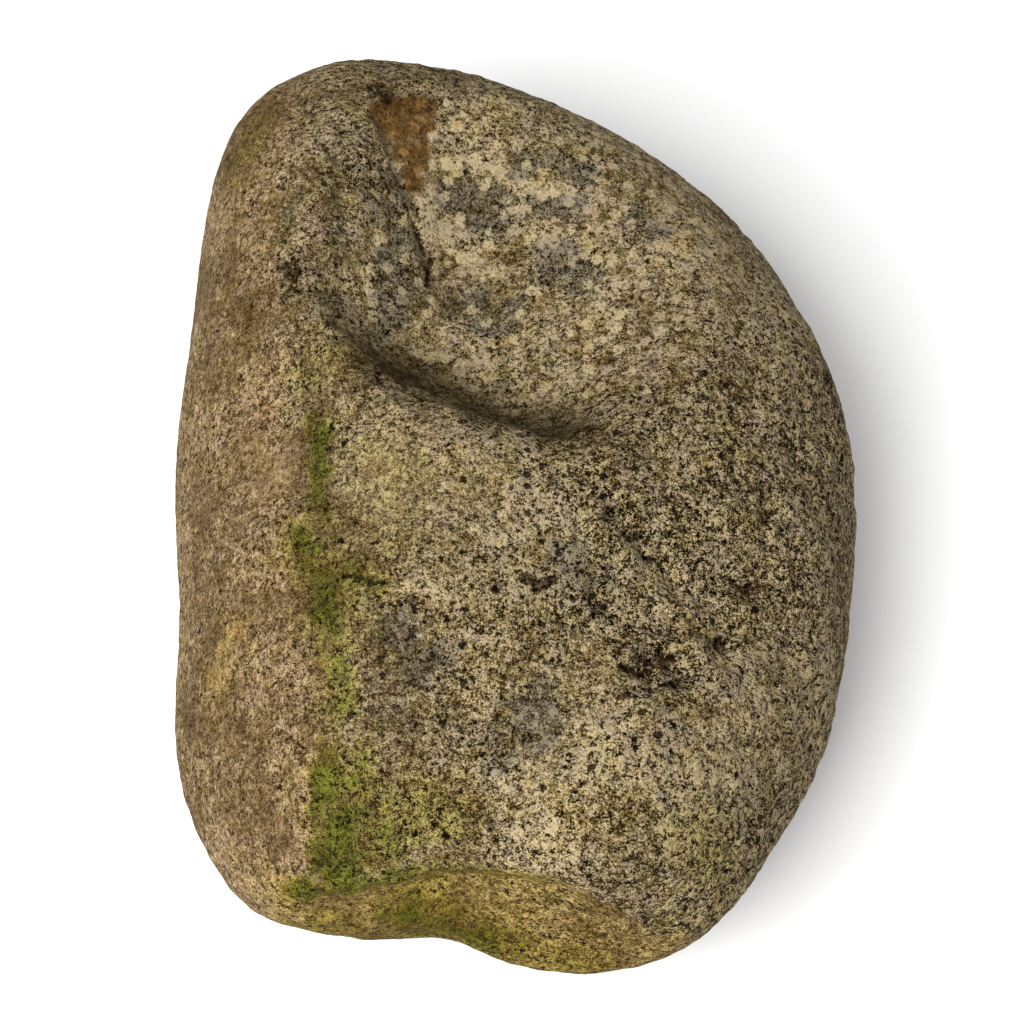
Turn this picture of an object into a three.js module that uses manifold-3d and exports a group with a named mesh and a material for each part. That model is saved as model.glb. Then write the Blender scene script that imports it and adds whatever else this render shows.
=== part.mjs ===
// Grinding stone: a water-worn boulder of coarse speckled rock, used lying down.
// A hollow is ground into the far half of its upper face, and a saddle is worn across its near end.
// Millimetres, +Z up, +Y along the stone from the saddle end to the hollow end.
// The origin is on the resting face, under the middle of the stone.

import * as THREE from 'three';
import { mergeVertices } from 'three/addons/utils/BufferGeometryUtils.js';
import Module from 'manifold-3d';

// Driving dimensions of the boulder
const WAIST_HEIGHT = 56; // level of the widest outline above the resting face
const CROWN_RISE = 80; // from the waist to the top of the boulder before its faces are flattened
const KEEL_DROP = 61; // from the waist to the bottom of the boulder before the resting face is cut
const SHOULDER_FULLNESS = 2.4; // 2 is an ellipse in side view, more is boxier
const MESH_DETAIL = 20; // subdivisions along each edge of the starting icosahedron

// Waist outline seen from above, anticlockwise from the right flank
const WAIST_OUTLINE = [
  [118, -2], [114, 38], [99, 69], [78, 97], // right flank to far shoulder
  [40, 126], [-15, 150], [-56, 156], [-79, 146], // far end
  [-99, 127], [-109, 99], [-113, 40], [-112, -38], [-111, -90], // left flank
  [-98, -124], [-80, -144], [-44, -150], [-22, -149], // near left heel and the notch of the saddle
  [3, -160], [28, -163], [57, -150], // toe
  [80, -124], [99, -87], [114, -40], // near right quarter
];

// Flattened faces of the boulder: a point on each, the way it faces, and how softly it rounds into the rest
const FACETS = [
  { name: 'upper face', point: [0, -40, 121], facing: [0.06, -0.02, 1], rounding: 22 },
  { name: 'left flank', point: [-57, -33, 118], facing: [-0.68, -0.12, 0.72], rounding: 28 },
  { name: 'right flank', point: [84, -20, 102], facing: [0.6, 0, 0.8], rounding: 40 },
  { name: 'far slope', point: [50, 100, 96], facing: [0.35, 0.4, 1], rounding: 24 },
];

// The grinding hollow: a sloping floor inside a steep curved wall, with a flatter side to its left and right
const HOLLOW_FLOOR = { point: [0, 45, 83], facing: [0, -0.29, 1] };
const HOLLOW_WALL = { axis: [21, 75], lipRadius: 90, lipHeight: 118, slope: 56, rounding: 36 };
const HOLLOW_SIDES = [
  { name: 'right rise', point: [62, 10, 106], facing: [-0.42, 0.2, 0.88], rounding: 40 },
  { name: 'left wall', point: [-71, 44, 116], facing: [0.6, -0.2, 0.77], rounding: 10 },
];
const HOLLOW_LIP = 9; // rounding where the hollow meets the outside

// Saddle worn across the near end: an ellipsoid taken out of it
const SADDLE = { centre: [-14, -187, 92], radii: [88, 46, 52], lip: 14 };

// Shallow worn places in the upper face, seen from above and pressed straight in; a lobe stands proud of it
const WORN_PLACES = [
  { name: 'middle trough', at: [-2, -93], half: [54, 29], turn: 51, depth: 5 },
  { name: 'near right lobe', at: [47, -116], half: [46, 25], turn: 51, depth: -6 },
  { name: 'right patch', at: [56, -61], half: [40, 21], turn: 3, depth: 5 },
];
const WORN_FADE = 30; // height above the waist over which they come in

// Slow unevenness of the whole surface: crossed waves, each along its own direction
const SWELL_HEIGHT = 0.8;
const SWELL_WAVES = [
  { along: [0.89, 0.45, 0], length: 78, phase: 0 },
  { along: [0, 0.72, -0.69], length: 75, phase: 1 },
  { along: [0.57, 0, 0.82], length: 62, phase: 2 },
];

// The surface is found along rays from a core low in the stone, from where every part of it can be seen
const CORE = new THREE.Vector3(0, 20, 30);
const WAIST_CENTRE = new THREE.Vector3(0, 0, WAIST_HEIGHT);
const HALF_SIZE = new THREE.Vector3(112, 165, 72); // spreads the rays evenly over the stone
const STRIDE = 3;
const TOLERANCE = 0.001;
const LEAST_LEVEL = 0.01; // keeps the boulder's field finite at its centre

const GROUND_SPAN = 600;
const GROUND_DEPTH = 100;

const OUTLINE_SAMPLES = 720;
const outlineCurve = new THREE.CatmullRomCurve3(
  WAIST_OUTLINE.map(([x, y]) => new THREE.Vector3(x, y, 0)), true, 'centripetal',
);
const outlineByBearing = outlineCurve.getPoints(OUTLINE_SAMPLES)
  .map((p) => ({ bearing: Math.atan2(p.y, p.x), reach: Math.hypot(p.x, p.y) }))
  .sort((a, b) => a.bearing - b.bearing);

// Reach of the waist outline from the centre, at a bearing in radians
function waistReach(bearing) {
  let low = 0;
  let high = outlineByBearing.length - 1;
  if (bearing <= outlineByBearing[low].bearing) return outlineByBearing[low].reach;
  if (bearing >= outlineByBearing[high].bearing) return outlineByBearing[high].reach;
  while (high - low > 1) {
    const middle = (low + high) >> 1;
    if (outlineByBearing[middle].bearing < bearing) low = middle;
    else high = middle;
  }
  const before = outlineByBearing[low];
  const after = outlineByBearing[high];
  const share = THREE.MathUtils.inverseLerp(before.bearing, after.bearing, bearing);
  return THREE.MathUtils.lerp(before.reach, after.reach, share);
}

// The larger of two values, with the corner rounded off within `width` of a tie
function smoothMax(a, b, width) {
  const overlap = Math.max(width - Math.abs(a - b), 0);
  return Math.max(a, b) + (width > 0 ? overlap * overlap / (4 * width) : 0);
}

// Each field below is the rough distance in millimetres to a surface, negative inside it
function boulderField(p) {
  const sideways = Math.hypot(p.x, p.y) / waistReach(Math.atan2(p.y, p.x));
  const above = p.z - WAIST_HEIGHT;
  const upright = Math.abs(above) / (above > 0 ? CROWN_RISE : KEEL_DROP);
  const n = SHOULDER_FULLNESS;
  const level = (sideways ** n + upright ** n) ** (1 / n);
  return Math.hypot(p.x, p.y, above) * (1 - 1 / Math.max(level, LEAST_LEVEL));
}

function planeField(p, plane) {
  const facing = new THREE.Vector3(...plane.facing).normalize();
  return facing.dot(p.clone().sub(new THREE.Vector3(...plane.point)));
}

// The wall is a cone about an upright axis, narrowing downwards
function hollowWallField(p) {
  const slope = THREE.MathUtils.degToRad(HOLLOW_WALL.slope);
  const away = Math.hypot(p.x - HOLLOW_WALL.axis[0], p.y - HOLLOW_WALL.axis[1]);
  const below = HOLLOW_WALL.lipHeight - p.z;
  return (away - HOLLOW_WALL.lipRadius) * Math.sin(slope) + below * Math.cos(slope);
}

function hollowField(p) {
  let field = smoothMax(-planeField(p, HOLLOW_FLOOR), hollowWallField(p), HOLLOW_WALL.rounding);
  for (const side of HOLLOW_SIDES) field = smoothMax(field, -planeField(p, side), side.rounding);
  return field;
}

function saddleField(p) {
  const q = p.clone().sub(new THREE.Vector3(...SADDLE.centre));
  const radii = new THREE.Vector3(...SADDLE.radii);
  const level = q.divide(radii).length();
  const steepness = q.divide(radii).length();
  return level * (level - 1) / steepness;
}

function swell(p) {
  let height = 0;
  for (const wave of SWELL_WAVES) {
    const along = p.dot(new THREE.Vector3(...wave.along));
    height += SWELL_HEIGHT * Math.sin(2 * Math.PI * along / wave.length + wave.phase);
  }
  return height;
}

function stoneField(p) {
  let field = boulderField(p);
  for (const facet of FACETS) field = smoothMax(field, planeField(p, facet), facet.rounding);
  field = smoothMax(field, -hollowField(p), HOLLOW_LIP);
  field = smoothMax(field, -saddleField(p), SADDLE.lip);
  return field + swell(p);
}

// How far the shallow worn places lower the surface at a point of it
function wornDepth(p) {
  let depth = 0;
  for (const place of WORN_PLACES) {
    const away = new THREE.Vector2(p.x - place.at[0], p.y - place.at[1]);
    away.rotateAround(new THREE.Vector2(), -THREE.MathUtils.degToRad(place.turn));
    const spread = (away.x / place.half[0]) ** 2 + (away.y / place.half[1]) ** 2;
    depth += place.depth * Math.exp(-spread * spread);
  }
  return depth * THREE.MathUtils.smoothstep(p.z, WAIST_HEIGHT, WAIST_HEIGHT + WORN_FADE);
}

// Distance from the core to the surface along a direction: strides out of the stone, then halves the last one
function surfaceDistance(direction) {
  const p = new THREE.Vector3();
  const field = (distance) => stoneField(p.copy(direction).multiplyScalar(distance).add(CORE));
  let outside = STRIDE;
  while (field(outside) < 0) outside += STRIDE;
  let inside = outside - STRIDE;
  while (outside - inside > TOLERANCE) {
    const middle = (inside + outside) / 2;
    if (field(middle) < 0) inside = middle;
    else outside = middle;
  }
  return (inside + outside) / 2;
}

function boulderGeometry() {
  const ball = new THREE.IcosahedronGeometry(1, MESH_DETAIL);
  ball.deleteAttribute('normal');
  ball.deleteAttribute('uv');
  const geometry = mergeVertices(ball);
  const places = geometry.attributes.position;
  const v = new THREE.Vector3();
  for (let i = 0; i < places.count; i++) {
    v.fromBufferAttribute(places, i).multiply(HALF_SIZE).add(WAIST_CENTRE).sub(CORE).normalize();
    v.multiplyScalar(surfaceDistance(v)).add(CORE);
    v.z -= wornDepth(v);
    places.setXYZ(i, v.x, v.y, v.z);
  }
  return geometry;
}

const wasm = await Module();
wasm.setup();

function toSolid(geometry) {
  return new wasm.Manifold(new wasm.Mesh({
    numProp: 3,
    vertProperties: new Float32Array(geometry.attributes.position.array),
    triVerts: new Uint32Array(geometry.index.array),
  }));
}

function toGeometry(solid) {
  const { vertProperties, triVerts } = solid.getMesh();
  const geometry = new THREE.BufferGeometry();
  geometry.setAttribute('position', new THREE.BufferAttribute(vertProperties, 3));
  geometry.setIndex(new THREE.BufferAttribute(triVerts, 1));
  geometry.computeVertexNormals();
  return geometry;
}

// Everything below the resting face
function groundGeometry() {
  const ground = new THREE.BoxGeometry(GROUND_SPAN, GROUND_SPAN, GROUND_DEPTH);
  ground.translate(0, 0, -GROUND_DEPTH / 2);
  ground.deleteAttribute('normal');
  ground.deleteAttribute('uv');
  return mergeVertices(ground);
}

// Brings the middle of the stone, seen from above, over the origin
function centreOverOrigin(geometry) {
  geometry.computeBoundingBox();
  const middle = geometry.boundingBox.getCenter(new THREE.Vector3());
  return geometry.translate(-middle.x, -middle.y, 0);
}

const stoneSolid = toSolid(boulderGeometry()).subtract(toSolid(groundGeometry()));
const stone = new THREE.Mesh(
  centreOverOrigin(toGeometry(stoneSolid)),
  new THREE.MeshStandardMaterial({ color: 0x8a7a5c, roughness: 0.92, metalness: 0 }),
);
stone.name = 'grinding_stone';

const part = new THREE.Group();
part.add(stone);
export default part;
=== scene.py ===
# Grinding stone: a weathered boulder with a ground hollow, moss and a rust stain, on a pale floor.

import math
from types import SimpleNamespace

import bmesh
import bpy
import numpy as np
from bpy.props import FloatProperty, FloatVectorProperty, IntProperty, PointerProperty
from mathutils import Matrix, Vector, noise


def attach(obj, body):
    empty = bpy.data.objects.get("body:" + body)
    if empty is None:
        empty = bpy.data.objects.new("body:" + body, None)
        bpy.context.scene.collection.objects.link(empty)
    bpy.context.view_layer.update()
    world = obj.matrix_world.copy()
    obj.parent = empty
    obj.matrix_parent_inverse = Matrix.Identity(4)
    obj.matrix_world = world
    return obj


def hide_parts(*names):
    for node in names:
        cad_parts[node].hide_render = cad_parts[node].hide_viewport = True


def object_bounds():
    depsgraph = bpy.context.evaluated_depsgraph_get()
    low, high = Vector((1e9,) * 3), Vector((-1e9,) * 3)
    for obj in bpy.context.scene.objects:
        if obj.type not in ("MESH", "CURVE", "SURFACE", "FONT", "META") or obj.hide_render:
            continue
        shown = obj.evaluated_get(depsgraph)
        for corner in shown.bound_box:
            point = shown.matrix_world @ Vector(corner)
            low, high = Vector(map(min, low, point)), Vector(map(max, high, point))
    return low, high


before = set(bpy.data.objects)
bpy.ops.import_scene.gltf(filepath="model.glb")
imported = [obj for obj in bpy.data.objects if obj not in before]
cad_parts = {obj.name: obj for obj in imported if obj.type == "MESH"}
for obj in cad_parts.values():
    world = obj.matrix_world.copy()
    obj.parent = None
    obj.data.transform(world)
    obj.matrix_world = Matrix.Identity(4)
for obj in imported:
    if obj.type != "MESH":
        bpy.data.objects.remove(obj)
CAD_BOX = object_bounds()

bl_info = {
    "name": "Grinding Stone",
    "version": (1, 0, 0),
    "blender": (4, 5, 0),
    "location": "View3D > Sidebar > Stone",
    "description": "Weathers a grinding stone and sets it on a pale floor",
    "category": "Object",
}

MM = 0.001
STONE_NODE = "grinding_stone"
BODY = "root"

# Making of the even mesh
WELD = 0.001 * MM
SMOOTH_SHARE = 0.5
SMOOTH_ROUNDS = 12

# Feature sizes of the grain in the material
DRIFT_SIZE = 26 * MM
PATCH_SIZE = 9 * MM
BLOTCH_SIZE = 3.2 * MM
GAP_SIZE = 1.6 * MM
GRIT_SIZE = 1.1 * MM
DUST_SIZE = 0.5 * MM
CLUMP_CELL = 4.6 * MM
GRAIN_CELL = 2.4 * MM
SPECK_CELL = 1.6 * MM
STIR_SIZE = 1.3 * MM
STIR_REACH = 2.0 * MM
BUMP_HEIGHT = 1.1 * MM

# Finish of the stone: the average grain's place between black and pale, and how matt it is
MIDDLE_TONE = 0.53
STONE_ROUGHNESS = 0.86
STONE_SHEEN = 0.05

# How the edges of masks and strokes wander, fray and shift, in millimetres
WANDER_SIZE = 16
WAVE_SIZE = 7
FRAY_SIZE = 3
SHIFT_SIZE = 8
SHIFT_REACH = 2.5
RIPPLE_STEP = (7.1, 3.3, 5.7)  # from one seed's noise to the next

# Masks over the stone, in millimetres: where each begins and where it is full, and how far its edge wanders
SKIN_EDGE = (-4, 8)  # across the ridge of the flank
SKIN_EDGE_WANDER = 5
SKIN_LOW = (52, 26)  # height
SKIN_LOW_WANDER = 8
CALM_BAND = (-75, -5)  # from the worn face towards the ridge of the flank
SADDLE_BLEND = (-3, 3)  # across the saddle's edge
SADDLE_WANDER = 3
SADDLE_LEFT = (-85, -65)
SADDLE_RIGHT = (62, 44)
SADDLE_FRONT = (-122, -132)
HOLLOW_MIDDLE = (6, 66)
HOLLOW_REACH = (78, 56)
HOLLOW_TOP = (112, 104)
BASE_FADE = (0.2, 4)  # height above the resting face
STROKE_EDGE = (1.5, 0.2)  # in half widths of the stroke
PIT_EDGE = (0.42, 0.12)  # in pit spacings

# Stage, with places and sizes in metres
FLOOR_REACH = 6.0
FLOOR_SHADE = 0.93
FLOOR_ROUGHNESS = 0.9
FLOOR_SHEEN = 0.1
KEY_PLACE = (-0.54, -0.54, 1.03)
KEY_SIZE = 0.8
AIM_PLACE = (-1.0 * MM, 1.6 * MM)
SENSOR_WIDTH = 36  # in millimetres


def srgb(red, green, blue):
    """Linear colour from the 0 to 255 values of a colour picker."""
    shares = (red / 255, green / 255, blue / 255)
    return tuple(s / 12.92 if s <= 0.04045 else ((s + 0.055) / 1.055) ** 2.4 for s in shares)


# Places on the stone, in millimetres from the middle of its resting face.
# Each stroke is (line of points, half width, strength).
MOSS_STROKES = [
    # strip along the ridge of the left flank
    ([(-60, -3, 110), (-59, -17, 111), (-58, -30, 111)], 5, 0.75),
    # main patch: its dark core, what spreads round it, its arm along the crack and its tail down the ridge
    ([(-63, -43, 107), (-60, -50, 108), (-57, -62, 109)], 7, 0.9),
    ([(-65, -42, 107), (-59, -54, 109), (-55, -68, 110)], 14, 0.4),
    ([(-60, -50, 110), (-49, -53, 114), (-39, -57, 117)], 6, 0.6),
    ([(-54, -64, 110), (-54, -76, 108), (-51, -89, 108)], 8, 0.6),
    # lower patch, dark along its left edge
    ([(-53, -112, 102), (-52, -126, 97), (-51, -138, 86)], 9, 1.0),
    ([(-48, -116, 101), (-44, -128, 97)], 14, 0.75),
    ([(-44, -118, 102), (-30, -122, 103), (-19, -125, 102)], 11, 0.5),
    # along the ridge of the saddle, and on its face
    ([(-64, -141, 78), (-48, -139, 83), (-33, -137, 84)], 6, 0.9),
    ([(-33, -137, 84), (-13, -136, 88), (6, -137, 90)], 8, 0.55),
    ([(-30, -143, 66), (-20, -146, 58), (-6, -150, 53)], 13, 0.7),
    ([(-16, -147, 56), (-8, -150, 52)], 6, 1.0),
    ([(-58, -147, 60), (-50, -149, 56)], 10, 0.45),
    ([(10, -155, 50), (24, -157, 48)], 12, 0.4),
    # thin yellow-green film beside the moss and on the left shoulder
    ([(-50, -4, 116), (-46, -22, 117), (-43, -42, 117), (-47, -60, 114)], 16, 0.18),
    ([(-30, -24, 122), (-33, -44, 120)], 9, 0.2),
    ([(-66, 15, 109), (-54, 20, 114)], 9, 0.36),
    ([(-86, 118, 100), (-90, 101, 98)], 15, 0.36),
    ([(52, -128, 103), (60, -136, 92)], 14, 0.3),
]

# Rust stain at the far end of the crease, narrowing towards the hollow
RUST_STROKES = [
    ([(-45, 115, 109), (-38, 117, 107), (-31, 118, 104)], 4.5, 1.0),
    ([(-41, 109, 107), (-35, 110, 105), (-31, 111, 104)], 4.5, 1.0),
    ([(-36, 102, 104), (-31, 103, 102)], 4.5, 1.0),
    ([(-34, 96, 101), (-31, 97, 100)], 3.5, 1.0),
    ([(-33, 92, 99), (-33, 90, 99)], 2.5, 0.9),
]

# Dark mineral marks, dirt in pits, and dark lines along the cracks, the step and the crease of the hollow;
# along the right edge, painted shade
DARK_STROKES = [
    ([(1, -56, 117), (8, -58, 116), (15, -57, 114)], 3, 0.75),
    ([(-72, 52, 111), (-71, 46, 111)], 4, 0.8),
    ([(-52, -53, 112), (-48, -56, 114), (-44, -55, 115), (-36, -57, 118)], 1.6, 0.9),
    ([(33, -83, 110), (40, -80, 109), (47, -76, 106)], 4, 0.65),
    ([(38, -90, 113), (45, -86, 111), (52, -81, 108)], 3.5, 0.6),
    ([(33, -40, 112), (44, -49, 106), (51, -55, 103), (60, -61, 99)], 1.8, 0.6),
    ([(66, -51, 98), (70, -52, 96)], 3, 0.8),
    ([(76, -29, 99), (78, -26, 98)], 2.2, 0.8),
    ([(62, -71, 99), (65, -66, 97)], 2.6, 0.8),
    ([(31, -93, 113), (33, -91, 113)], 1.5, 1.1),
    # right edge: a dark pit, then painted shade along the edge, which faces away from the light
    ([(111, 25, 57), (108, 29, 64), (105, 34, 69)], 6, 0.6),
    ([(110, 16, 58), (106, -2, 66)], 7, 0.42),
    ([(-46, 124, 107), (-43, 120, 108)], 4, 0.7),
    ([(-35, 90, 100), (-33, 81, 97), (-30, 73, 94), (-27, 66, 92), (-29, 55, 91)], 1.8, 0.7),
]

# Painted shade, with some grime, on the steep wall below the lip of the hollow, which faces away from the
# light
PAINTED_SHADE_STROKES = [
    ([(-66, 46, 110), (-52, 31, 109), (-38, 22, 104)], 9, 0.4),
    ([(-34, 20, 104), (-25, 17, 99), (-12, 10, 100), (0, 4, 103), (10, 1, 105)], 15, 1.2),
    ([(10, 4, 103), (25, 4, 104), (36, 8, 104)], 11, 0.2),
]

# Upper edge of the saddle's face
SADDLE_EDGE = [
    (-63, -140, 78), (-49, -138, 85), (-33, -137, 86), (-25, -135, 87), (-13, -135, 91),
    (-1, -137, 98), (9, -139, 100), (18, -142, 97), (28, -146, 91), (40, -151, 77),
]

# Yellow-brown stain on the toe below the saddle and here and there on the flank
STAIN_STROKES = [
    ([(0, -158, 40), (24, -160, 44), (46, -152, 52)], 24, 0.8),
    ([(-91, -75, 80), (-86, -65, 88)], 9, 0.7),
    ([(-34, -23, 122), (-37, -43, 119), (-48, -45, 114)], 14, 0.25),
]

# Paler parts of the upper face
PALE_STROKES = [
    ([(12, -118, 112), (24, -95, 112), (40, -104, 113)], 22, 0.8),
    ([(50, -118, 108), (66, -100, 98), (80, -84, 88)], 24, 1.0),
    ([(-33, -25, 122), (-5, -32, 121), (8, -46, 118)], 20, 0.8),
    ([(58, 86, 97), (76, 60, 92), (84, 34, 92)], 18, 0.5),
    ([(46, -56, 105), (64, -68, 98)], 18, 0.4),
    ([(-46, 70, 104), (-48, 50, 106)], 12, 0.4),
    ([(-45, -146, 66), (-25, -143, 66), (0, -148, 66)], 16, 0.4),
    ([(-80, -18, 98), (-74, -15, 102)], 8, 0.7),
    ([(-91, -75, 80), (-86, -65, 88)], 5, 0.8),
]

# Cracks, the crease of the hollow and pits: (line of points, half width, depth), raised where negative
DENTS = [
    # crack through the main moss patch, and the vein that stands proud beside it
    ([(-58, -49, 110), (-52, -53, 112), (-48, -56, 114), (-44, -55, 115), (-35, -56, 118)], 1.8, 1.6),
    ([(-34, -58, 118), (-28, -60, 119), (-22, -62, 119), (-14, -65, 117)], 2.4, -0.9),
    # crease between the hollow's left wall and its floor
    ([(-46, 112, 109), (-40, 101, 105), (-35, 90, 100), (-30, 73, 94), (-27, 60, 91)], 2.6, 2.8),
    # lip of the hollow, with its wall drawn in below it
    ([(-66, 38, 112), (-55, 25, 113), (-36, 13, 110), (-14, 3, 108), (4, -7, 114)], 4, -1.1),
    ([(-54, 46, 103), (-44, 35, 102), (-27, 25, 97), (-7, 15, 96), (10, 4, 102)], 14, 4.6),
    # edge of the saddle, and the face drawn in below it
    (SADDLE_EDGE, 3.5, -1.3),
    ([(-56, -144, 70), (-33, -140, 74), (-15, -140, 77), (2, -144, 83), (18, -149, 82)], 8, 2.6),
    # step, pits and ridges of the rugged patch
    ([(28, -36, 115), (39, -43, 109), (51, -55, 103), (60, -61, 99)], 3, 2.6),
    ([(22, -40, 117), (34, -48, 111), (46, -61, 105), (54, -68, 102)], 4, -1.2),
    ([(36, -82, 110), (40, -80, 109), (46, -77, 106)], 4.5, 3.6),
    ([(40, -89, 113), (45, -86, 111), (50, -83, 108)], 4, 2.0),
    ([(31, -78, 109), (36, -76, 108), (44, -73, 105), (51, -74, 104)], 3.5, -1.8),
    ([(66, -51, 98), (70, -52, 96)], 3.5, 2.2),
    ([(76, -29, 99), (78, -26, 98)], 3, 1.6),
    ([(62, -71, 99), (65, -66, 97)], 3.5, 2.4),
    # ridge of the lobe, pits on the left of the lip and on the right edge
    ([(12, -116, 112), (18, -104, 113), (24, -92, 112), (30, -83, 111)], 5, -1.2),
    ([(-72, 52, 111), (-71, 46, 111)], 4, 1.2),
    ([(111, 25, 57), (108, 29, 64), (105, 34, 69)], 5, 1.2),
]

# Blue-grey mineral patches on the floor and left wall of the hollow, and the pale veins between them
GREY_STROKES = [
    ([(-20, 90, 95), (-8, 82, 93)], 8, 1.0),
    ([(2, 99, 99), (15, 101, 99), (22, 95, 99)], 5, 1.0),
    ([(7, 84, 96), (17, 84, 98)], 6, 0.9),
    ([(14, 66, 94), (21, 57, 95)], 8, 0.9),
    ([(-16, 51, 89), (-5, 46, 88)], 8, 0.9),
    ([(-43, 86, 105), (-39, 69, 99), (-38, 51, 97), (-41, 41, 100)], 9, 0.75),
    ([(40, 79, 98), (47, 73, 98)], 6, 0.8),
    ([(-34, -74, 119), (-26, -84, 117)], 10, 0.7),
    ([(14, -48, 115), (24, -58, 112)], 10, 0.6),
    ([(6, -96, 110), (-4, -106, 110)], 10, 0.6),
]
VEIN_STROKES = [
    ([(-26, 99, 99), (-15, 100, 97), (-5, 96, 97), (8, 92, 98), (26, 84, 98), (28, 92, 98)], 3.5, 1.0),
    ([(-29, 90, 97), (-27, 82, 94), (-23, 73, 91), (-16, 67, 89), (-5, 64, 90)], 4, 1.0),
    ([(26, 80, 98), (24, 70, 96), (10, 72, 94)], 3.5, 0.8),
    ([(-34, -58, 118), (-22, -62, 119), (-14, -65, 117)], 3, 0.8),
]

# Rugged, pitted part of the upper face
RUGGED_STROKES = [
    ([(24, -34, 117), (50, -46, 106), (62, -62, 100)], 18, 1.0),
    ([(28, -62, 112), (44, -76, 109)], 16, 1.0),
    ([(86, -30, 94), (98, 8, 82)], 26, 0.8),
    ([(84, -75, 84), (66, -120, 84)], 24, 0.7),
    ([(-46, 88, 107), (-42, 68, 101), (-43, 46, 102)], 13, 1.2),
]

# Marks that the material reads
PAINTED_MARKS = (
    "moss", "rust", "dirt", "shade", "stain", "bright", "grey", "vein", "skin", "coarse", "hollow",
)

# Left flank: outside this ridge the stone keeps its smoother natural skin (x, y)
SKIN_RIDGE = [
    (-62, -160), (-54, -113), (-55, -73), (-60, -29), (-67, 6),
    (-71, 31), (-74, 60), (-70, 110), (-66, 160),
]


class StoneRelief(bpy.types.PropertyGroup):
    """Sizes of the weathered surface."""

    mesh_step: FloatProperty(
        name="Mesh step", description="Edge length of the finished mesh",
        default=1.58 * MM, unit="LENGTH", precision=5)
    lump_size: FloatProperty(
        name="Lump size", description="Distance between the lumps of the broken surface",
        default=15 * MM, unit="LENGTH", precision=4)
    lump_height: FloatProperty(
        name="Lump height", description="How far the lumps stand out",
        default=1.3 * MM, unit="LENGTH", precision=5)
    grain_size: FloatProperty(
        name="Grain size", description="Distance between coarse grains",
        default=5 * MM, unit="LENGTH", precision=5)
    grain_height: FloatProperty(
        name="Grain height", description="How far coarse grains stand out",
        default=0.9 * MM, unit="LENGTH", precision=5)
    pit_size: FloatProperty(
        name="Pit spacing", description="Distance between weathered pits",
        default=9 * MM, unit="LENGTH", precision=5)
    pit_depth: FloatProperty(
        name="Pit depth", description="Depth of the weathered pits",
        default=1.1 * MM, unit="LENGTH", precision=5)
    seed: IntProperty(name="Seed", description="Changes every random pattern of the relief", default=4)


class StoneColours(bpy.types.PropertyGroup):
    """Colours of the stone, and the tints of what lies on it."""

    black: FloatVectorProperty(
        name="Black mica", description="Darkest grains and specks", subtype="COLOR", default=srgb(14, 7, 1))
    dark: FloatVectorProperty(
        name="Dark grain", description="Dark brown grains", subtype="COLOR", default=srgb(57, 43, 19))
    middle: FloatVectorProperty(
        name="Middle grain", description="Olive brown grains", subtype="COLOR", default=srgb(98, 83, 54))
    tan: FloatVectorProperty(
        name="Tan grain", description="Tan grains", subtype="COLOR", default=srgb(126, 110, 79))
    cream: FloatVectorProperty(
        name="Cream grain", description="Cream grains", subtype="COLOR", default=srgb(159, 142, 108))
    pale: FloatVectorProperty(
        name="Pale grain", description="Palest grains", subtype="COLOR", default=srgb(184, 166, 130))
    cool: FloatVectorProperty(
        name="Cool tint", description="Tint of the greyer patches", subtype="COLOR",
        default=(0.82, 0.81, 0.86))
    warm: FloatVectorProperty(
        name="Warm tint", description="Tint of the yellower patches", subtype="COLOR",
        default=(0.97, 0.96, 0.83))
    blue_grey: FloatVectorProperty(
        name="Blue-grey tint", description="Tint of the mineral patches in the hollow", subtype="COLOR",
        default=(0.6, 0.63, 0.71))
    ochre: FloatVectorProperty(
        name="Ochre tint", description="Tint of iron-stained grains", subtype="COLOR",
        default=(1.0, 0.78, 0.48))
    skin: FloatVectorProperty(
        name="Skin tint", description="Tint of the smooth natural skin", subtype="COLOR",
        default=(0.9, 0.81, 0.77))
    film: FloatVectorProperty(
        name="Green film", description="Tint of the thin yellow-green film", subtype="COLOR",
        default=(0.88, 0.92, 0.56))
    moss: FloatVectorProperty(
        name="Moss", description="Tint of the moss", subtype="COLOR", default=(0.44, 0.57, 0.24))
    rust: FloatVectorProperty(
        name="Rust", description="Tint of the rust stain", subtype="COLOR", default=(0.54, 0.38, 0.22))
    stain: FloatVectorProperty(
        name="Yellow stain", description="Tint of the yellow-brown stain on the saddle", subtype="COLOR",
        default=(0.98, 0.95, 0.56))
    # painted shade, with some grime, on the steep wall below the lip of the hollow
    shade: FloatVectorProperty(
        name="Painted shade and grime", description="Tint of the painted shade and grime on the steep wall of the hollow", subtype="COLOR",
        default=(0.4, 0.38, 0.34))
    # dirt in pits and cracks, and painted shade on the right edge
    dirt: FloatVectorProperty(
        name="Dirt and painted shade", description="Tint of the dirt in pits and of the painted shade on the right edge", subtype="COLOR", default=(0.22, 0.18, 0.14))


class StageLook(bpy.types.PropertyGroup):
    """Camera, light and floor."""

    elevation: FloatProperty(
        name="Camera elevation", description="Angle of the view above the horizon",
        default=math.radians(65), subtype="ANGLE")
    distance: FloatProperty(
        name="Camera distance", description="From the camera to the middle of the stone",
        default=629 * MM, unit="LENGTH")
    lens: FloatProperty(name="Lens", description="Focal length in millimetres", default=67.0)
    drop: FloatProperty(
        name="Aim drop", description="How far below the stone's middle the camera aims",
        default=11.9 * MM, unit="LENGTH")
    key_power: FloatProperty(
        name="Key light", description="Power of the soft light", default=22.0, unit="POWER")
    fill: FloatProperty(
        name="Fill light", description="Strength of the light from all round", default=0.58)


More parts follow.
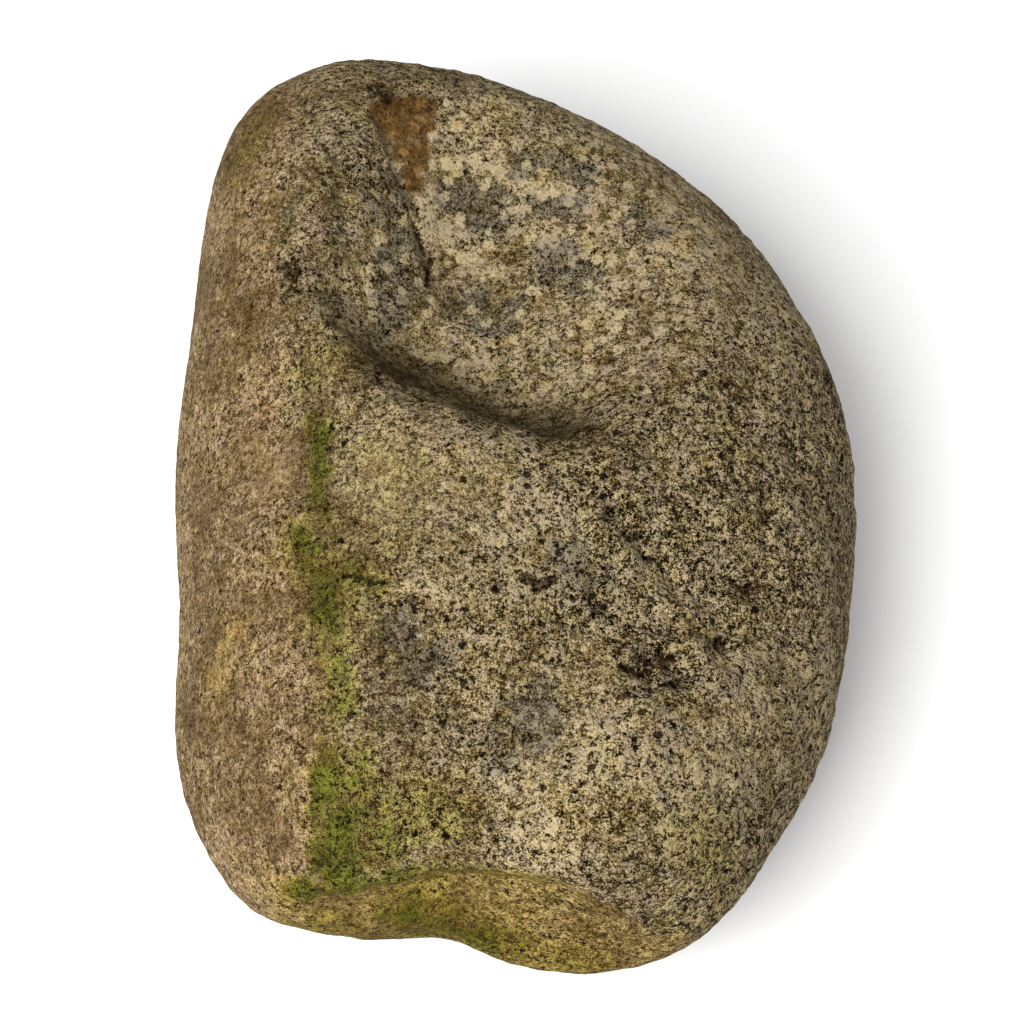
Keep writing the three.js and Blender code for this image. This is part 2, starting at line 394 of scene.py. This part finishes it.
class Wire:
    """A value in a node tree that takes Python's operators. Each one adds a Math node."""

    def __init__(self, nodes, socket):
        self.nodes = nodes
        self.socket = socket

    def maths(self, operation, first, second):
        made = self.nodes.node("ShaderNodeMath", {"operation": operation}, {0: first, 1: second})
        return Wire(self.nodes, made.outputs[0])

    def __add__(self, other):
        return self.maths("ADD", self, other)

    def __radd__(self, other):
        return self.maths("ADD", other, self)

    def __sub__(self, other):
        return self.maths("SUBTRACT", self, other)

    def __rsub__(self, other):
        return self.maths("SUBTRACT", other, self)

    def __mul__(self, other):
        return self.maths("MULTIPLY", self, other)

    def __rmul__(self, other):
        return self.maths("MULTIPLY", other, self)

    def __truediv__(self, other):
        return self.maths("DIVIDE", self, other)

    def __rtruediv__(self, other):
        return self.maths("DIVIDE", other, self)


class Nodes:
    """Adds nodes to one tree, for a material or for geometry."""

    def __init__(self, tree):
        self.tree = tree

    def node(self, kind, settings=None, sockets=None):
        """A node of one type. Its settings are set first, then the values or links of its sockets."""
        made = self.tree.nodes.new(kind)
        for name, value in (settings or {}).items():
            if name == "stops":
                self.set_stops(made.color_ramp, value)
            else:
                setattr(made, name, value)
        for key, value in (sockets or {}).items():
            self.plug(made.inputs[key], value)
        return made

    def set_stops(self, ramp, stops):
        while len(ramp.elements) < len(stops):
            ramp.elements.new(1.0)
        for element, (position, colour) in zip(ramp.elements, stops):
            element.position = position
            element.color = (*colour, 1.0)

    def plug(self, socket, value):
        if isinstance(value, Wire):
            self.tree.links.new(value.socket, socket)
        elif isinstance(value, bpy.types.NodeSocket):
            self.tree.links.new(value, socket)
        elif socket.type == "RGBA":
            socket.default_value = (*value, 1.0)[:4]
        else:
            socket.default_value = value

    def wire(self, socket):
        return Wire(self, socket)

    def mix(self, first, second, share):
        """Colour between two colours."""
        settings = {"data_type": "RGBA", "clamp_factor": True}
        made = self.node("ShaderNodeMix", settings, {0: share, 6: first, 7: second})
        return made.outputs[2]

    def tint(self, colour, tint, share):
        """Colour multiplied by a tint."""
        settings = {"data_type": "RGBA", "blend_type": "MULTIPLY", "clamp_factor": True}
        made = self.node("ShaderNodeMix", settings, {0: share, 6: colour, 7: tint})
        return made.outputs[2]

    def ease(self, value, start, end):
        """0 below start and 1 above end, or the other way round where start is larger."""
        made = self.node(
            "ShaderNodeMapRange", {"interpolation_type": "SMOOTHSTEP", "clamp": True},
            {"Value": value, "From Min": start, "From Max": end})
        return self.wire(made.outputs[0])

    def noise(self, place, size, detail=2.0, roughness=0.5):
        """Soft noise from 0 to 1 with features of a size in metres."""
        made = self.node(
            "ShaderNodeTexNoise", None,
            {"Vector": place, "Scale": 1 / size, "Detail": detail, "Roughness": roughness})
        return self.wire(made.outputs[0])

    def mark(self, name):
        """A value stored on the mesh, read in a material."""
        read = self.node("ShaderNodeAttribute", {"attribute_type": "GEOMETRY", "attribute_name": name})
        return self.wire(read.outputs["Fac"])

    def cells(self, place, size):
        """Cells of a size in metres: (distance from the cell's middle, a random value, another one)."""
        made = self.node("ShaderNodeTexVoronoi", None, {"Vector": place, "Scale": 1 / size})
        parts = self.node("ShaderNodeSeparateColor", None, {0: made.outputs["Color"]})
        return self.wire(made.outputs["Distance"]), self.wire(parts.outputs[0]), self.wire(parts.outputs[1])


def ease(value, start, end):
    """0 below start and 1 above end, smoothly, or the other way round where start is larger."""
    share = np.clip((value - start) / (end - start), 0, 1)
    return share * share * (3 - 2 * share)


def ripple(places, size, seed):
    """Soft noise from about -1 to 1 at each place, with features of a size in millimetres."""
    offset = Vector([seed * step for step in RIPPLE_STEP])
    return np.array([noise.fractal(Vector(p) / size + offset, 1.0, 2.0, 3) for p in places])


def distance_to_line(places, points):
    """Distance from each place to the nearest stretch of a line of points."""
    points = np.array(points, float)
    nearest = np.full(len(places), np.inf)
    for start, end in zip(points[:-1], points[1:]):
        run = end - start
        share = np.clip((places - start) @ run / (run @ run), 0, 1)
        away = np.linalg.norm(places - start - share[:, None] * run, axis=1)
        nearest = np.minimum(nearest, away)
    return nearest


def stroke_mask(places, strokes, raggedness):
    """How strongly any of the strokes covers each place, with ragged edges."""
    mask = np.zeros(len(places))
    for points, half_width, strength in strokes:
        reach = distance_to_line(places, points) / half_width + raggedness
        mask = np.maximum(mask, strength * ease(reach, *STROKE_EDGE))
    return mask


def dent_depth(places):
    """Depth of the cracks, crease and pits at each place, in millimetres."""
    depth = np.zeros(len(places))
    for points, half_width, deep in DENTS:
        reach = distance_to_line(places, points) / half_width
        depth += deep * np.exp(-reach * reach)
    return depth


def outside_ridge(places):
    """How far each place lies to the left of the flank's ridge, in millimetres."""
    ridge = np.array(SKIN_RIDGE, float)
    return np.interp(places[:, 1], ridge[:, 1], ridge[:, 0]) - places[:, 0]


def skin_mask(places, wander):
    """1 on the smooth skin of the left flank, less low on the stone, 0 on the worn faces."""
    flank = ease(outside_ridge(places) + SKIN_EDGE_WANDER * wander, *SKIN_EDGE)
    low = 0.75 * ease(places[:, 2] + SKIN_LOW_WANDER * wander, *SKIN_LOW)
    return np.maximum(flank, low)


def saddle_mask(places, wander):
    """1 on the face of the saddle, 0 above its edge."""
    edge = np.array(SADDLE_EDGE, float)
    below = np.interp(places[:, 0], edge[:, 0], edge[:, 2]) - places[:, 2]
    sides = ease(places[:, 0], *SADDLE_LEFT) * ease(places[:, 0], *SADDLE_RIGHT)
    below = ease(below + SADDLE_WANDER * wander, *SADDLE_BLEND)
    return below * sides * ease(places[:, 1], *SADDLE_FRONT)


def hollow_mask(places):
    """1 in the ground hollow, 0 outside it."""
    away = np.hypot(places[:, 0] - HOLLOW_MIDDLE[0], places[:, 1] - HOLLOW_MIDDLE[1])
    return ease(away, *HOLLOW_REACH) * ease(places[:, 2], *HOLLOW_TOP)


def weather_marks(mesh):
    """Stores on each vertex where the stone is mossed, stained, cracked or smooth, and where shade is
    painted on it.
    """
    places = np.empty(len(mesh.vertices) * 3)
    mesh.vertices.foreach_get("co", places)
    places = places.reshape(-1, 3) / MM
    wander = ripple(places, WANDER_SIZE, 1)
    ragged = 0.45 * ripple(places, WAVE_SIZE, 2) + 0.25 * ripple(places, FRAY_SIZE, 3)
    shift = np.stack([ripple(places, SHIFT_SIZE, seed) for seed in (4, 5, 6)], axis=1)
    stirred = places + SHIFT_REACH * shift
    saddle = saddle_mask(places, wander)
    skin = np.maximum(skin_mask(places, wander), 0.65 * saddle)
    hollow = hollow_mask(places)
    coarse = stroke_mask(stirred, RUGGED_STROKES, ragged)
    calm = ease(outside_ridge(places), *CALM_BAND) * (1 - skin)
    rough = (1 - 0.6 * skin) * (1 - 0.5 * hollow) * (1 + 2 * coarse)
    marks = {
        "moss": stroke_mask(stirred, MOSS_STROKES, ragged),
        "rust": stroke_mask(stirred, RUST_STROKES, 0.5 * ragged),
        # dirt in pits and cracks, and painted shade on the right edge
        "dirt": stroke_mask(stirred, DARK_STROKES, ragged),
        # painted shade, with some grime, below the lip of the hollow
        "shade": stroke_mask(stirred, PAINTED_SHADE_STROKES, 0.5 * ragged),
        "stain": np.maximum(stroke_mask(stirred, STAIN_STROKES, ragged), 0.85 * saddle),
        "bright": stroke_mask(stirred, PALE_STROKES, ragged),
        "grey": stroke_mask(stirred, GREY_STROKES, ragged),
        "vein": stroke_mask(stirred, VEIN_STROKES, ragged),
        "skin": skin,
        "coarse": coarse - 0.8 * calm,
        "hollow": hollow,
        "dent": dent_depth(stirred) * MM,
        "rough": rough * ease(places[:, 2], *BASE_FADE),
    }
    for name, values in marks.items():
        stored = mesh.attributes.new(name, "FLOAT", "POINT")
        stored.data.foreach_set("value", values.astype(np.float32))


def merged_copy(source, name):
    """A copy of a CAD node's object whose loose triangles are joined up."""
    mesh = source.data.copy()
    shape = bmesh.new()
    shape.from_mesh(mesh)
    bmesh.ops.remove_doubles(shape, verts=shape.verts, dist=WELD)
    shape.to_mesh(mesh)
    shape.free()
    mesh.materials.clear()
    mesh.name = name
    made = bpy.data.objects.new(name, mesh)
    bpy.context.scene.collection.objects.link(made)
    return made


def make_plain(made):
    """Turns an object's modifiers into plain mesh."""
    shown = made.evaluated_get(bpy.context.evaluated_depsgraph_get())
    mesh = bpy.data.meshes.new_from_object(shown)
    made.modifiers.clear()
    made.data = mesh


def even_mesh(made, step):
    """Gives the piece an even, smooth mesh of small steps."""
    remesh = made.modifiers.new("Even mesh", "REMESH")
    remesh.mode = "VOXEL"
    remesh.voxel_size = step
    smooth = made.modifiers.new("Smooth facets", "SMOOTH")
    smooth.factor = SMOOTH_SHARE
    smooth.iterations = SMOOTH_ROUNDS
    make_plain(made)


def relief_tree(finish):
    """Geometry nodes that roughen the stone along its normals."""
    tree = bpy.data.node_groups.new("Weathered relief", "GeometryNodeTree")
    tree.interface.new_socket("Geometry", in_out="OUTPUT", socket_type="NodeSocketGeometry")
    tree.interface.new_socket("Geometry", in_out="INPUT", socket_type="NodeSocketGeometry")
    for name in ("Lump size", "Lump height", "Grain size", "Grain height", "Pit size", "Pit depth", "Seed"):
        tree.interface.new_socket(name, in_out="INPUT", socket_type="NodeSocketFloat")
    nodes = Nodes(tree)
    given = nodes.node("NodeGroupInput").outputs
    size = {name: nodes.wire(given[name]) for name in given.keys() if name not in ("Geometry", "")}
    place = nodes.node("GeometryNodeInputPosition").outputs[0]
    normal = nodes.node("GeometryNodeInputNormal").outputs[0]

    def mark(name):
        read = nodes.node("GeometryNodeInputNamedAttribute", {"data_type": "FLOAT"}, {"Name": name})
        return nodes.wire(read.outputs[0])

    def bumps(spacing, detail, shift):
        made = nodes.node(
            "ShaderNodeTexNoise", {"noise_dimensions": "4D"},
            {"Vector": place, "W": size["Seed"] + shift, "Scale": 1 / spacing, "Detail": detail})
        return nodes.wire(made.outputs[0]) * 2 - 1

    lumps = bumps(size["Lump size"], 3.0, 0.0) * size["Lump height"]
    grains = bumps(size["Grain size"], 1.0, 5.0) * size["Grain height"]
    pit_cells = nodes.node(
        "ShaderNodeTexVoronoi", {"voronoi_dimensions": "4D"},
        {"Vector": place, "W": size["Seed"], "Scale": 1 / size["Pit size"]})
    pits = nodes.ease(nodes.wire(pit_cells.outputs["Distance"]), *PIT_EDGE) * size["Pit depth"]
    height = (lumps + grains - pits) * mark("rough") - mark("dent")
    push = nodes.node("ShaderNodeVectorMath", {"operation": "SCALE"}, {0: normal, "Scale": height})
    moved = nodes.node(
        "GeometryNodeSetPosition", None, {"Geometry": given["Geometry"], "Offset": push.outputs[0]})
    whole = nodes.node("GeometryNodeRealizeInstances", None, {"Geometry": moved.outputs[0]})
    painted = nodes.node(
        "GeometryNodeSetMaterial", None, {"Geometry": whole.outputs[0], "Material": finish})
    nodes.node("NodeGroupOutput", None, {"Geometry": painted.outputs[0]})
    return tree


def roughen(made, relief, finish):
    """Runs the relief tree over the piece and keeps the result as plain mesh."""
    tree = relief_tree(finish)
    values = {
        "Lump size": relief.lump_size, "Lump height": relief.lump_height,
        "Grain size": relief.grain_size, "Grain height": relief.grain_height,
        "Pit size": relief.pit_size, "Pit depth": relief.pit_depth, "Seed": float(relief.seed),
    }
    modifier = made.modifiers.new("Weathered relief", "NODES")
    modifier.node_group = tree
    for socket in tree.interface.items_tree:
        if socket.in_out == "INPUT" and socket.name in values:
            modifier[socket.identifier] = values[socket.name]
    make_plain(made)


def grain_patterns(nodes):
    """Noise and ragged cells that the stone's colour and bump are made of."""
    place = nodes.node("ShaderNodeTexCoord").outputs["Object"]
    stir = nodes.node("ShaderNodeTexNoise", None, {"Vector": place, "Scale": 1 / STIR_SIZE, "Detail": 2.0})
    offset = nodes.node(
        "ShaderNodeVectorMath", {"operation": "MULTIPLY_ADD"},
        {0: stir.outputs["Color"], 1: (STIR_REACH,) * 3, 2: place})
    ragged = offset.outputs[0]
    grain_away, grain_pick, hue = nodes.cells(ragged, GRAIN_CELL)
    speck_away, speck_pick, _ = nodes.cells(ragged, SPECK_CELL)
    clump_away, clump_pick, clump_hue = nodes.cells(ragged, CLUMP_CELL)
    patches = nodes.noise(place, PATCH_SIZE, 3.0, 0.6) - 0.5
    drift = nodes.noise(place, DRIFT_SIZE, 2.0) - 0.5
    return SimpleNamespace(
        patches=patches,
        drift=drift,
        crowd=nodes.ease(0.5 * drift + 0.5 * patches, -0.1, 0.08),
        blotch=nodes.noise(place, BLOTCH_SIZE, 4.0, 0.75) - 0.5,
        grit=nodes.noise(place, GRIT_SIZE, 3.0, 0.8) - 0.5,
        dust=nodes.noise(place, DUST_SIZE, 1.0) - 0.5,
        gaps=nodes.ease(nodes.noise(place, GAP_SIZE, 2.0, 0.6), 0.42, 0.37),
        pale=nodes.ease(grain_pick, 0.6, 0.66) * nodes.ease(grain_away, 0.6, 0.4),
        hue=hue,
        specks=nodes.ease(speck_pick, 0.86, 0.88) * nodes.ease(speck_away, 0.5, 0.36),
        blots=nodes.ease(clump_pick, 0.84, 0.87) * nodes.ease(clump_away, 0.3, 0.22),
        clumps=nodes.ease(clump_pick, 0.5, 0.46) * nodes.ease(clump_away, 0.5, 0.36),
        clump_hue=clump_hue - 0.5,
    )


def grain_tone(nodes, grain, mark):
    """Tone of the stone at each place, low for its dark grains and high for its pale ones."""
    fine = 1.2 * grain.blotch + 1.5 * grain.grit + 1.2 * grain.dust
    fine = fine - (0.05 + 0.14 * grain.crowd) * grain.gaps + 0.14 * (grain.pale - 0.25)
    contrast = 0.82 + 0.34 * grain.crowd + 0.42 * mark["coarse"]
    contrast = contrast - 0.42 * mark["skin"] - 0.2 * mark["hollow"] - 0.4 * mark["rust"]
    broad = (0.4 - 0.1 * mark["skin"]) * grain.patches + 0.35 * grain.drift
    vein = nodes.ease(mark["vein"] + grain.patches, 0.3, 0.7)
    lighter = 0.14 * vein + 0.13 * mark["bright"] + (0.04 + 0.22 * grain.clumps) * mark["hollow"]
    return MIDDLE_TONE + fine * contrast + broad + lighter


def mineral_colour(nodes, colours, grain, mark):
    """Colour of the bare stone, its mineral patches and its skin."""
    stops = [
        (0.2, colours.black), (0.34, colours.dark), (0.46, colours.middle),
        (0.55, colours.tan), (0.68, colours.cream), (0.8, colours.pale),
    ]
    tone = grain_tone(nodes, grain, mark)
    base = nodes.node("ShaderNodeValToRGB", {"stops": stops}, {0: tone}).outputs[0]
    mineral = grain.patches + 0.3 * grain.clump_hue
    iron = nodes.ease(grain.hue, 0.86, 0.9) * nodes.ease(grain.patches, 0, -0.1)
    grey = nodes.ease(mark["grey"] * (1 + 3 * grain.patches), 0.2, 0.6)
    black = grain.specks * (0.35 + 0.65 * grain.crowd) + grain.blots
    base = nodes.tint(base, colours.cool, nodes.ease(mineral, 0, 0.16))
    base = nodes.tint(base, colours.warm, nodes.ease(mineral, 0, -0.16))
    base = nodes.tint(base, colours.ochre, iron * (0.4 - 0.3 * mark["skin"]))
    base = nodes.tint(base, colours.blue_grey, grey * (1 - 0.7 * grain.clumps * mark["hollow"]))
    base = nodes.tint(base, colours.skin, mark["skin"])
    base = nodes.tint(base, colours.stain, mark["stain"])
    # Painted shade, with some grime, darkens the steep wall below the lip of the hollow
    base = nodes.tint(base, colours.shade, mark["shade"])
    return nodes.mix(base, colours.black, black * (0.9 - 0.5 * mark["skin"]) * (1 - 0.4 * mark["hollow"]))


def weathered_colour(nodes, base, colours, grain, mark):
    """Dirt in pits, painted shade on the right edge, rust, green film and moss over the bare stone."""
    speckle = grain.grit + grain.blotch
    dirt = nodes.ease(mark["dirt"] * (1.3 - 2.5 * speckle), 0.4, 0.75)
    rust = nodes.ease(mark["rust"] * (1 + 2 * speckle), 0.3, 0.6)
    growth = mark["moss"] * (1 + 2.5 * grain.patches + 2 * speckle)
    # Dirt in pits and cracks, and painted shade along the right edge
    base = nodes.tint(base, colours.dirt, dirt)
    base = nodes.tint(base, colours.rust, rust)
    base = nodes.tint(base, colours.film, nodes.ease(growth, 0.1, 0.5))
    return nodes.tint(base, colours.moss, nodes.ease(growth, 0.42, 1.0))


def stone_finish(colours):
    """Speckled stone, tinted by its skin, moss, rust, dirt and painted shade."""
    material = bpy.data.materials.new("weathered_stone")
    material.use_nodes = True
    nodes = Nodes(material.node_tree)
    nodes.tree.nodes.clear()
    grain = grain_patterns(nodes)
    mark = {name: nodes.mark(name) for name in PAINTED_MARKS}
    base = mineral_colour(nodes, colours, grain, mark)
    base = weathered_colour(nodes, base, colours, grain, mark)

    # Pale grains stand out, gaps and specks sink in
    height = 1.2 * grain.patches + 1.2 * grain.blotch + grain.grit
    height = height + 0.16 * grain.pale - 0.3 * grain.gaps - 0.3 * grain.specks
    bump = nodes.node(
        "ShaderNodeBump", None,
        {"Strength": 1.0, "Distance": BUMP_HEIGHT, "Height": height * (1 - 0.4 * mark["skin"])})
    shader = nodes.node("ShaderNodeBsdfPrincipled", None, {
        "Base Color": base, "Roughness": STONE_ROUGHNESS, "Specular IOR Level": STONE_SHEEN,
        "Normal": bump.outputs[0],
    })
    nodes.node("ShaderNodeOutputMaterial", None, {"Surface": shader.outputs[0]})
    return material


def floor_finish():
    """Plain pale floor."""
    material = bpy.data.materials.new("pale_floor")
    material.use_nodes = True
    shader = material.node_tree.nodes["Principled BSDF"]
    shader.inputs["Base Color"].default_value = (FLOOR_SHADE, FLOOR_SHADE, FLOOR_SHADE, 1.0)
    shader.inputs["Roughness"].default_value = FLOOR_ROUGHNESS
    shader.inputs["Specular IOR Level"].default_value = FLOOR_SHEEN
    return material


class STONE_OT_weathered_body(bpy.types.Operator):
    """Builds the weathered stone over its solid"""

    bl_idname = "stone.weathered_body"
    bl_label = "Weathered stone"

    def execute(self, context):
        relief = context.scene.stone_relief
        stone = merged_copy(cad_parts[STONE_NODE], "weathered_stone")
        even_mesh(stone, relief.mesh_step)
        weather_marks(stone.data)
        roughen(stone, relief, stone_finish(context.scene.stone_colours))
        stone.data.shade_smooth()
        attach(stone, BODY)
        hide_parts(STONE_NODE)
        return {"FINISHED"}


class STONE_OT_stage(bpy.types.Operator):
    """Lays the floor and sets the light and the camera"""

    bl_idname = "stone.stage"
    bl_label = "Stage"

    def execute(self, context):
        look = context.scene.stone_stage
        self.lay_floor()
        self.set_light(context.scene, look)
        self.set_camera(context.scene, look)
        context.scene.view_settings.view_transform = "Standard"
        return {"FINISHED"}

    def lay_floor(self):
        reach = FLOOR_REACH
        corners = [(-reach, -reach, 0), (reach, -reach, 0), (reach, reach, 0), (-reach, reach, 0)]
        mesh = bpy.data.meshes.new("floor")
        mesh.from_pydata(corners, [], [(0, 1, 2, 3)])
        mesh.materials.append(floor_finish())
        floor = bpy.data.objects.new("floor", mesh)
        bpy.context.scene.collection.objects.link(floor)

    def set_light(self, scene, look):
        world = bpy.data.worlds.new("soft_room")
        world.use_nodes = True
        sky = world.node_tree.nodes["Background"]
        sky.inputs["Color"].default_value = (1.0, 1.0, 1.0, 1.0)
        sky.inputs["Strength"].default_value = look.fill
        scene.world = world
        lamp = bpy.data.lights.new("soft_key", "AREA")
        lamp.energy = look.key_power
        lamp.size = KEY_SIZE
        key = bpy.data.objects.new("soft_key", lamp)
        key.location = KEY_PLACE
        key.rotation_euler = (-key.location).to_track_quat("-Z", "Y").to_euler()
        scene.collection.objects.link(key)

    def set_camera(self, scene, look):
        low, high = CAD_BOX
        middle = Vector((*AIM_PLACE, (low.z + high.z) / 2))
        back = Vector((0, -math.cos(look.elevation), math.sin(look.elevation)))
        up = Vector((0, math.sin(look.elevation), math.cos(look.elevation)))
        lens = bpy.data.cameras.new("camera")
        lens.lens = look.lens
        lens.sensor_width = SENSOR_WIDTH
        camera = bpy.data.objects.new("camera", lens)
        camera.location = middle + back * look.distance
        aim = middle - up * look.drop
        camera.rotation_euler = (aim - camera.location).to_track_quat("-Z", "Y").to_euler()
        scene.collection.objects.link(camera)
        scene.camera = camera


class STONE_PT_sidebar(bpy.types.Panel):
    """Lists the sizes and colours of the stone and its stage, with the buttons that build them"""

    bl_label = "Grinding stone"
    bl_space_type = "VIEW_3D"
    bl_region_type = "UI"
    bl_category = "Stone"

    def draw(self, context):
        for group in (context.scene.stone_relief, context.scene.stone_colours, context.scene.stone_stage):
            for name in group.bl_rna.properties.keys():
                if name not in ("rna_type", "name"):
                    self.layout.prop(group, name)
        self.layout.operator(STONE_OT_weathered_body.bl_idname)
        self.layout.operator(STONE_OT_stage.bl_idname)


CLASSES = (StoneRelief, StoneColours, StageLook, STONE_OT_weathered_body, STONE_OT_stage, STONE_PT_sidebar)


def register():
    for made in CLASSES:
        bpy.utils.register_class(made)
    bpy.types.Scene.stone_relief = PointerProperty(type=StoneRelief)
    bpy.types.Scene.stone_colours = PointerProperty(type=StoneColours)
    bpy.types.Scene.stone_stage = PointerProperty(type=StageLook)


def unregister():
    del bpy.types.Scene.stone_relief
    del bpy.types.Scene.stone_colours
    del bpy.types.Scene.stone_stage
    for made in reversed(CLASSES):
        bpy.utils.unregister_class(made)


def main():
    register()
    bpy.ops.stone.weathered_body()
    bpy.ops.stone.stage()


if __name__ == "__main__":
    main()
